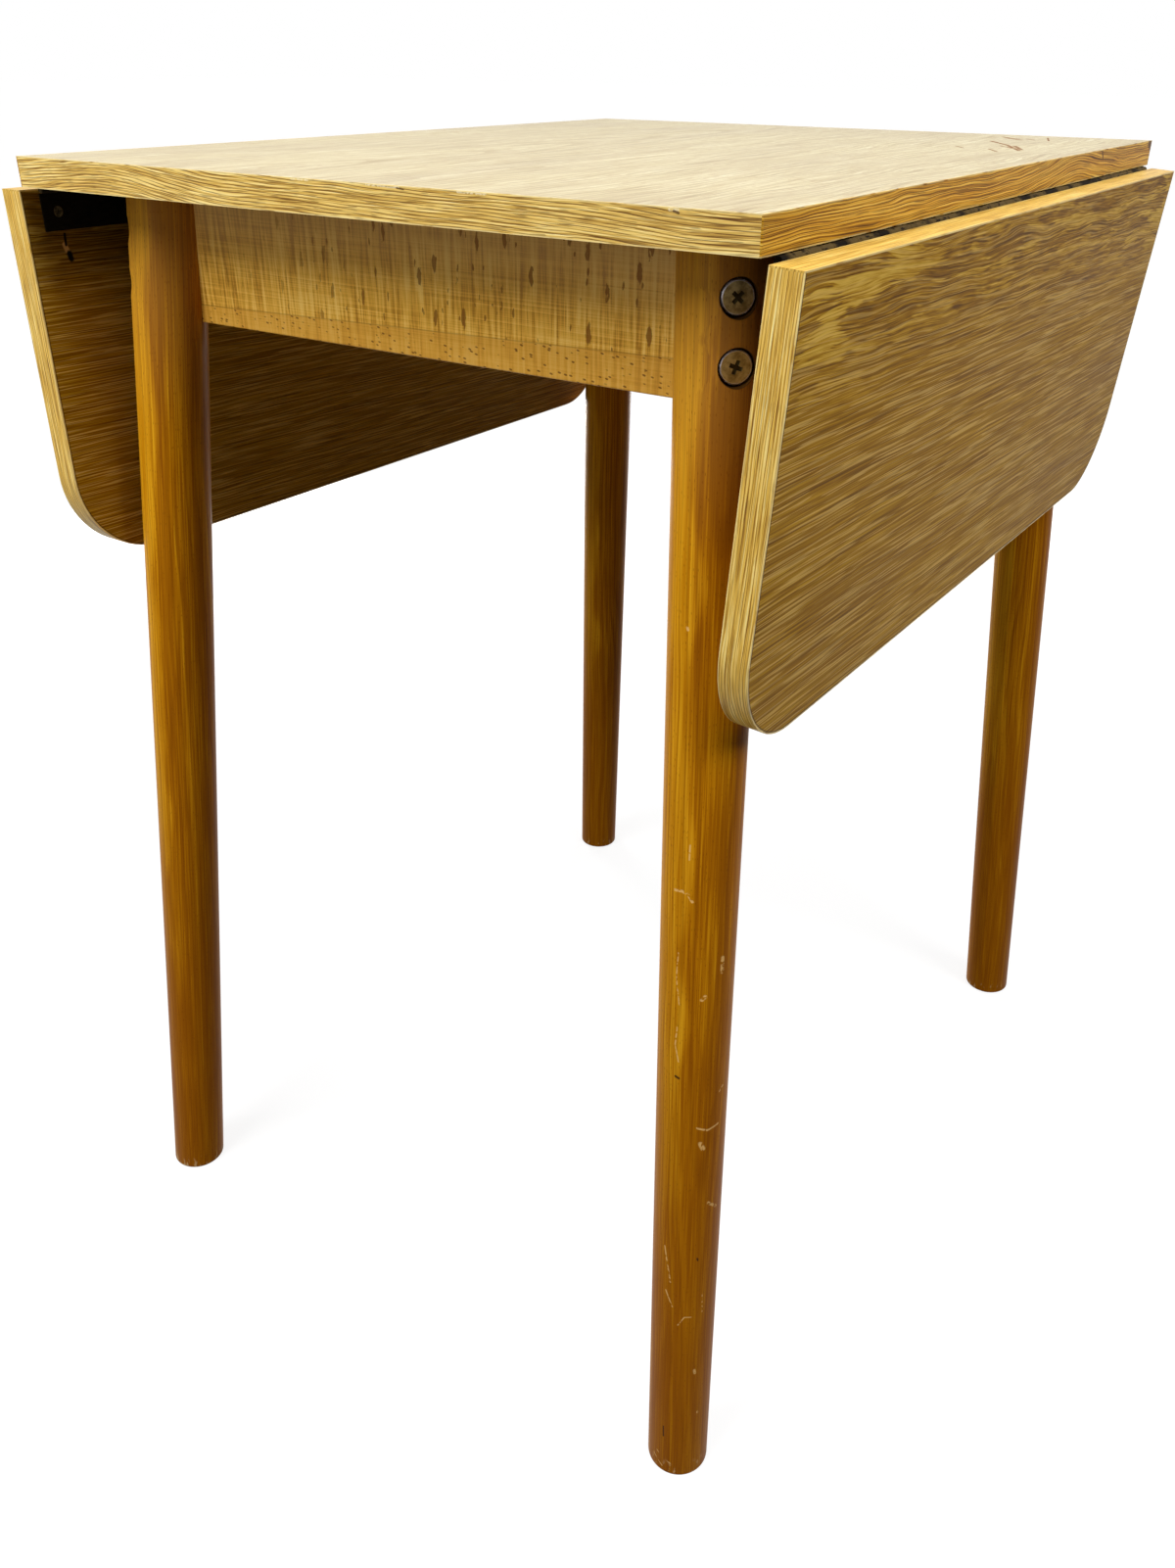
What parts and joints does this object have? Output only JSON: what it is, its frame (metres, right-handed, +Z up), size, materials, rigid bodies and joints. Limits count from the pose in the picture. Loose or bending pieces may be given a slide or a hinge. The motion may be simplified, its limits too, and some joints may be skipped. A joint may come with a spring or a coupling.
{
  "type": "drop-leaf table",
  "caption": "Small drop-leaf table: fixed top on a beech frame with raking round legs, and a rounded hanging leaf on a continuous hinge at each long edge.",
  "frame": {"origin": "on the floor, under the middle of the fixed top", "axes": "+Z up; hinge lines run along Y; leaves hang at +X (right) and -X (left); front is at -Y"},
  "size_m": [0.4968, 0.6288, 0.74],
  "materials": {
    "oak_board": "satin oak-effect foil on chipboard",
    "oak_edge_band": "satin oak-effect edge band",
    "beech_leg": "satin lacquered beech",
    "beech_rail": "satin lacquered beech with dark flecks",
    "block_wood": "unfinished softwood",
    "dowel_wood": "unfinished fluted beech",
    "bronzed_steel": "dark bronzed steel",
    "dark_hinge_steel": "dark burnished steel",
    "hinge_screw_steel": "worn bright steel",
    "stay_steel": "dull zinc-plated strip steel",
    "zinc_steel": "zinc plated"
  },
  "bodies": {
    "table": {"apron_back": "beech_rail", "apron_front": "beech_rail", "corner_block_back_left": "block_wood", "corner_block_back_right": "block_wood", "corner_block_front_left": "block_wood", "corner_block_front_right": "block_wood", "fixed_top": "oak_board", "hinge_pin_left": "dark_hinge_steel", "hinge_pin_right": "dark_hinge_steel", "hinge_top_screws_left": "hinge_screw_steel", "hinge_top_screws_right": "hinge_screw_steel", "hinge_top_wing_left": "dark_hinge_steel", "hinge_top_wing_right": "dark_hinge_steel", "leg_back_left": "beech_leg", "leg_back_right": "beech_leg", "leg_bolt_nuts": "zinc_steel", "leg_bolt_washers": "zinc_steel", "leg_bolts": "bronzed_steel", "leg_front_left": "beech_leg", "leg_front_right": "beech_leg", "rail_dowels": "dowel_wood", "side_rail_left": "beech_rail", "side_rail_right": "beech_rail", "stay_rail_bracket_left_back": "stay_steel", "stay_rail_bracket_left_front": "stay_steel", "stay_rail_bracket_right_back": "stay_steel", "stay_rail_bracket_right_front": "stay_steel", "stay_rail_rivets": "stay_steel", "stay_rail_screws": "zinc_steel", "top_end_bands": "oak_edge_band", "top_fixing_screws": "zinc_steel", "top_side_bands": "oak_edge_band"},
    "leaf_left": {"hinge_leaf_screws_left": "hinge_screw_steel", "hinge_leaf_wing_left": "dark_hinge_steel", "leaf_edge_band_left": "oak_edge_band", "leaf_hinge_band_left": "oak_edge_band", "leaf_panel_left": "oak_board", "stay_leaf_bracket_left_back": "stay_steel", "stay_leaf_bracket_left_front": "stay_steel", "stay_leaf_rivets_left": "stay_steel", "stay_leaf_screws_left": "zinc_steel"},
    "leaf_right": {"hinge_leaf_screws_right": "hinge_screw_steel", "hinge_leaf_wing_right": "dark_hinge_steel", "leaf_edge_band_right": "oak_edge_band", "leaf_hinge_band_right": "oak_edge_band", "leaf_panel_right": "oak_board", "stay_leaf_bracket_right_back": "stay_steel", "stay_leaf_bracket_right_front": "stay_steel", "stay_leaf_rivets_right": "stay_steel", "stay_leaf_screws_right": "zinc_steel"},
    "leaf_arm_left_back": {"stay_leaf_arm_left_back": "stay_steel"},
    "leaf_arm_left_front": {"stay_leaf_arm_left_front": "stay_steel"},
    "leaf_arm_right_back": {"stay_leaf_arm_right_back": "stay_steel"},
    "leaf_arm_right_front": {"stay_leaf_arm_right_front": "stay_steel"},
    "rail_arm_left_back": {"stay_rail_arm_left_back": "stay_steel"},
    "rail_arm_left_front": {"stay_rail_arm_left_front": "stay_steel"},
    "rail_arm_right_back": {"stay_rail_arm_right_back": "stay_steel"},
    "rail_arm_right_front": {"stay_rail_arm_right_front": "stay_steel"}
  },
  "joints": [
    {"name": "leaf_right_fold", "type": "hinge", "parent": "table", "child": "leaf_right", "pos_m": [0.2292, 0, 0.7224], "axis": [0, -1, 0], "range_deg": [0, 93.81]},
    {"name": "leaf_left_fold", "type": "hinge", "parent": "table", "child": "leaf_left", "pos_m": [-0.2292, 0, 0.7224], "axis": [0, 1, 0], "range_deg": [0, 89.99]},
    {"name": "rail_arm_right_front_turn", "type": "hinge", "parent": "table", "child": "rail_arm_right_front", "pos_m": [0.2092, -0.1467, 0.6644], "axis": [0, -1, 0], "range_deg": [-43.04, 0]},
    {"name": "leaf_arm_right_front_turn", "type": "hinge", "parent": "leaf_right", "child": "leaf_arm_right_front", "pos_m": [0.21943, -0.1444, 0.68096], "axis": [0, -1, 0], "range_deg": [0, 18.86]},
    {"name": "rail_arm_right_back_turn", "type": "hinge", "parent": "table", "child": "rail_arm_right_back", "pos_m": [0.2092, 0.1467, 0.6644], "axis": [0, -1, 0], "range_deg": [-43.04, 0]},
    {"name": "leaf_arm_right_back_turn", "type": "hinge", "parent": "leaf_right", "child": "leaf_arm_right_back", "pos_m": [0.21943, 0.1444, 0.68096], "axis": [0, -1, 0], "range_deg": [0, 18.86]},
    {"name": "rail_arm_left_front_turn", "type": "hinge", "parent": "table", "child": "rail_arm_left_front", "pos_m": [-0.2092, -0.1467, 0.6644], "axis": [0, 1, 0], "range_deg": [-38.77, 0]},
    {"name": "leaf_arm_left_front_turn", "type": "hinge", "parent": "leaf_left", "child": "leaf_arm_left_front", "pos_m": [-0.22221, -0.1444, 0.6804], "axis": [0, 1, 0], "range_deg": [0, 24.11]},
    {"name": "rail_arm_left_back_turn", "type": "hinge", "parent": "table", "child": "rail_arm_left_back", "pos_m": [-0.2092, 0.1467, 0.6644], "axis": [0, 1, 0], "range_deg": [-38.77, 0]},
    {"name": "leaf_arm_left_back_turn", "type": "hinge", "parent": "leaf_left", "child": "leaf_arm_left_back", "pos_m": [-0.22221, 0.1444, 0.6804], "axis": [0, 1, 0], "range_deg": [0, 24.11]}
  ],
  "couplings": [
    {"joint": "rail_arm_right_front_turn", "follows": "leaf_right_fold", "ratio": -0.4583},
    {"joint": "leaf_arm_right_front_turn", "follows": "leaf_right_fold", "ratio": 0.20051},
    {"joint": "rail_arm_right_back_turn", "follows": "leaf_right_fold", "ratio": -0.4583},
    {"joint": "leaf_arm_right_back_turn", "follows": "leaf_right_fold", "ratio": 0.20051},
    {"joint": "rail_arm_left_front_turn", "follows": "leaf_left_fold", "ratio": -0.43025},
    {"joint": "leaf_arm_left_front_turn", "follows": "leaf_left_fold", "ratio": 0.26739},
    {"joint": "rail_arm_left_back_turn", "follows": "leaf_left_fold", "ratio": -0.43025},
    {"joint": "leaf_arm_left_back_turn", "follows": "leaf_left_fold", "ratio": 0.26739}
  ]
}
